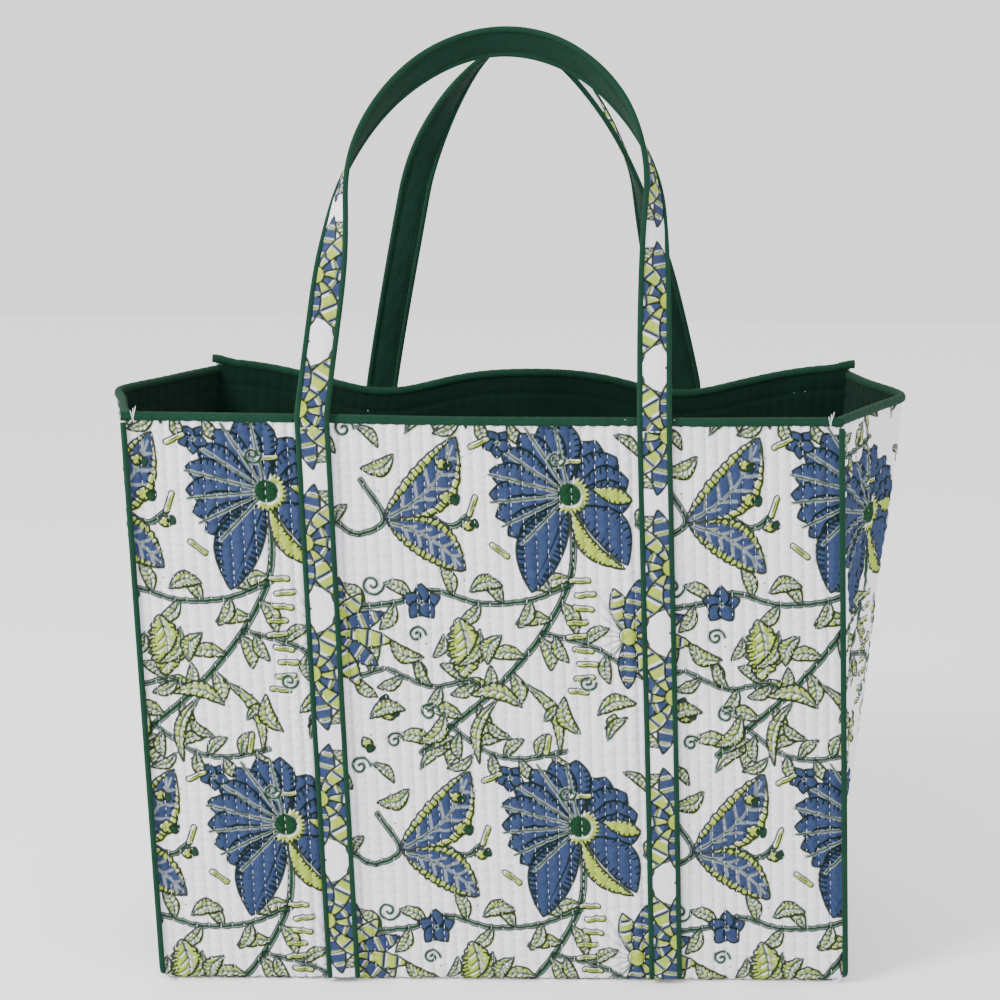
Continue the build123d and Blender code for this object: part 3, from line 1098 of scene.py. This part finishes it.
weave = weave_group()
print("weave group:", [item.name for item in weave.interface.items_tree])


# %% Cloth materials
thread_height = 0.0004


def cloth_material(name, threads, roughness, bump, sheen, use_cloth=True):
    """Cotton with weave bump; returns the material, its nodes and the sockets to colour it with."""
    material = bpy.data.materials.new(name)
    material.use_nodes = True
    nodes, links = material.node_tree.nodes, material.node_tree.links
    shader = nodes["Principled BSDF"]
    shader.inputs["Roughness"].default_value = roughness
    shader.inputs["Specular IOR Level"].default_value = 0.06
    shader.inputs["Sheen Weight"].default_value = sheen
    shader.inputs["Sheen Roughness"].default_value = 0.6
    if use_cloth:
        place = nodes.new("ShaderNodeAttribute")
        place.attribute_name = "cloth"
        vector = place.outputs["Vector"]
    else:
        place = nodes.new("ShaderNodeTexCoord")
        vector = place.outputs["Object"]
    group = nodes.new("ShaderNodeGroup")
    group.node_tree = weave
    group.inputs["Threads"].default_value = threads
    links.new(vector, group.inputs["Cloth"])
    relief = nodes.new("ShaderNodeBump")
    relief.inputs["Strength"].default_value = bump
    relief.inputs["Distance"].default_value = thread_height
    links.new(group.outputs["Height"], relief.inputs["Height"])
    links.new(relief.outputs["Normal"], shader.inputs["Normal"])
    return material, nodes, links, shader, group, vector


def mix(nodes, links, factor, first, second):
    node = nodes.new("ShaderNodeMix")
    node.data_type = "RGBA"
    for value, socket in ((factor, node.inputs[0]), (first, node.inputs[6]), (second, node.inputs[7])):
        if isinstance(value, bpy.types.NodeSocket):
            links.new(value, socket)
        elif isinstance(value, tuple):
            socket.default_value = (*value, 1.0)
        else:
            socket.default_value = value
    return node.outputs[2]


def ranged(nodes, links, value, low, high, to_low, to_high):
    node = nodes.new("ShaderNodeMapRange")
    links.new(value, node.inputs["Value"])
    for key, number in (("From Min", low), ("From Max", high), ("To Min", to_low), ("To Max", to_high)):
        node.inputs[key].default_value = number
    return node.outputs["Result"]


def noise(nodes, links, vector, scale, detail):
    node = nodes.new("ShaderNodeTexNoise")
    node.inputs["Scale"].default_value = scale
    node.inputs["Detail"].default_value = detail
    links.new(vector, node.inputs["Vector"])
    return node.outputs["Fac"]


print("threads stand", thread_height, "m proud in every cloth")

# %% [markdown]
# The printed cotton is white cloth with three inks and a dark outline. The amount of each ink was stored at
# every point of the cloth, so here each one only mixes its colour in. Block printing is uneven, so a fine
# noise varies the colour of every ink, and a broad one varies the white.
# %% Printed cotton
def printed_cotton():
    material, nodes, links, shader, group, vector = cloth_material("printed_cotton", 2200, 0.92, 0.35, 0.03)
    ink = nodes.new("ShaderNodeAttribute")
    ink.attribute_name = "ink"
    parts = nodes.new("ShaderNodeSeparateColor")
    links.new(ink.outputs["Color"], parts.inputs[0])
    mottle = noise(nodes, links, vector, 260, 6)
    patch = noise(nodes, links, vector, 30, 3)
    fleck = ranged(nodes, links, group.outputs["Fleck"], 0.35, 0.65, 0.0, 1.0)
    white = mix(nodes, links, patch, (0.74, 0.74, 0.80), (0.86, 0.86, 0.90))
    blue = mix(nodes, links, mottle, (0.010, 0.020, 0.060), (0.040, 0.064, 0.145))
    blue = mix(nodes, links, ranged(nodes, links, fleck, 0, 1, 0.0, 0.25), blue, (0.07, 0.10, 0.20))
    green = mix(nodes, links, mottle, (0.003, 0.022, 0.009), (0.010, 0.060, 0.022))
    lime = mix(nodes, links, mottle, (0.24, 0.32, 0.03), (0.42, 0.52, 0.08))
    colour = mix(nodes, links, parts.outputs[2], white, lime)
    colour = mix(nodes, links, parts.outputs[0], colour, blue)
    colour = mix(nodes, links, parts.outputs[1], colour, green)
    dark = ranged(nodes, links, ink.outputs["Alpha"], 0.10, 0.50, 0.0, 0.95)
    colour = mix(nodes, links, dark, colour, (0.004, 0.012, 0.008))
    links.new(colour, shader.inputs["Base Color"])
    return material


print_material = printed_cotton()
print(print_material.name, "has", len(print_material.node_tree.nodes), "nodes")

# %% [markdown]
# The other cloths are dyed one colour all over. The binding and cords have no flat map of their own, so
# their weave follows the object's own coordinates.
# %% Dyed cloths
def dyed_cloth(name, deep, pale, threads, sheen, use_cloth=True):
    material, nodes, links, shader, group, vector = cloth_material(name, threads, 0.85, 0.5, sheen, use_cloth)
    patch = noise(nodes, links, vector, 45, 5)
    fine = ranged(nodes, links, group.outputs["Fleck"], 0.3, 0.7, 0.0, 1.0)
    colour = mix(nodes, links, patch, deep, pale)
    paler = tuple(1.6 * channel for channel in pale)
    colour = mix(nodes, links, ranged(nodes, links, fine, 0, 1, 0.0, 0.35), colour, paler)
    links.new(colour, shader.inputs["Base Color"])
    return material


finishes = {
    "printed_cotton": print_material,
    "green_cotton": dyed_cloth("green_cotton", (0.002, 0.014, 0.008), (0.006, 0.032, 0.019), 2200, 0.04),
    "lining_cotton": dyed_cloth("lining_cotton", (0.001, 0.009, 0.005), (0.004, 0.022, 0.013), 2200, 0.03),
    "green_piping": dyed_cloth(
        "green_piping", (0.003, 0.020, 0.011), (0.007, 0.040, 0.022), 2600, 0.04, use_cloth=False),
    "white_thread": dyed_cloth(
        "white_thread", (0.62, 0.63, 0.66), (0.78, 0.78, 0.80), 5200, 0.02, use_cloth=False)}
for piece in [o for o in bpy.data.objects if o.type == "MESH" and o.get("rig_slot")]:
    piece.data.materials.clear()
    piece.data.materials.append(finishes[piece["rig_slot"]])
print("materials:", sorted(finishes))

# %% [markdown]
# ## Studio
# A pale floor that glows faintly, a soft key light from the upper left, a weaker light from the right and an
# even pale sky. The key light is the small one, because a small light shows the quilting's relief best.
# %% Floor, sky and lights
floor_size = 6.0
corner = floor_size / 2
floor_mesh = bpy.data.meshes.new("studio_floor")
floor_mesh.from_pydata(
    [(-corner, -corner, 0), (corner, -corner, 0), (corner, corner, 0), (-corner, corner, 0)],
    [], [(0, 1, 2, 3)])
floor = bpy.data.objects.new("studio_floor", floor_mesh)
bpy.context.scene.collection.objects.link(floor)
floor_material = bpy.data.materials.new("pale_floor")
floor_material.use_nodes = True
floor_shader = floor_material.node_tree.nodes["Principled BSDF"]
floor_shader.inputs["Base Color"].default_value = (0.95, 0.95, 0.95, 1)
floor_shader.inputs["Roughness"].default_value = 0.9
floor_shader.inputs["Emission Color"].default_value = (1, 1, 1, 1)
floor_shader.inputs["Emission Strength"].default_value = 0.1
floor_mesh.materials.append(floor_material)

world = bpy.data.worlds.new("studio_sky")
world.use_nodes = True
world.node_tree.nodes["Background"].inputs[0].default_value = (1.0, 1.0, 1.0, 1)
world.node_tree.nodes["Background"].inputs[1].default_value = 1.5
bpy.context.scene.world = world


def turned_to(direction, roll=0.0):
    """Rotation that points a light or the camera in a direction."""
    turned = Vector(direction).to_track_quat("-Z", "Y").to_matrix() @ Matrix.Rotation(roll, 3, "Z")
    return turned.to_euler()


def soft_light(name, place, aim, size, power):
    light = bpy.data.lights.new(name, "AREA")
    light.size = size
    light.energy = power
    lamp = bpy.data.objects.new(name, light)
    lamp.location = place
    lamp.rotation_euler = turned_to(np.array(aim) - np.array(place))
    bpy.context.scene.collection.objects.link(lamp)


target = np.array([0.0, 0.0, 0.300])
soft_light("key_light", (-1.5, -1.1, 1.6), target, 0.6, 60)
soft_light("side_light", (1.9, -0.7, 1.2), target, 1.2, 7)
print("lights:", [lamp.name for lamp in bpy.data.lights])

# %% [markdown]
# The camera stands almost square to the front panel and a little above the rim, far enough away that the
# walls hardly taper. A small roll and a nudge of its aim settle the bag in the picture.
# %% Camera
camera_azimuth = math.radians(-1.1)
camera_elevation = math.radians(13.8)
camera_roll = math.radians(0.67)
camera_distance = 1.505
away = np.array([
    math.sin(camera_azimuth) * math.cos(camera_elevation),
    -math.cos(camera_azimuth) * math.cos(camera_elevation),
    math.sin(camera_elevation)])
camera_data = bpy.data.cameras.new("camera")
camera_data.sensor_width = 36.0
camera_data.lens = 78.0
camera = bpy.data.objects.new("camera", camera_data)
camera.location = target + away * camera_distance
aim_nudge = np.array([-0.006, 0.0, 0.0175])
camera.rotation_euler = turned_to(target + aim_nudge - np.array(camera.location), camera_roll)
bpy.context.scene.collection.objects.link(camera)
bpy.context.scene.camera = camera
print("camera", camera_distance, "m from the bag's middle, lens", camera_data.lens, "mm")
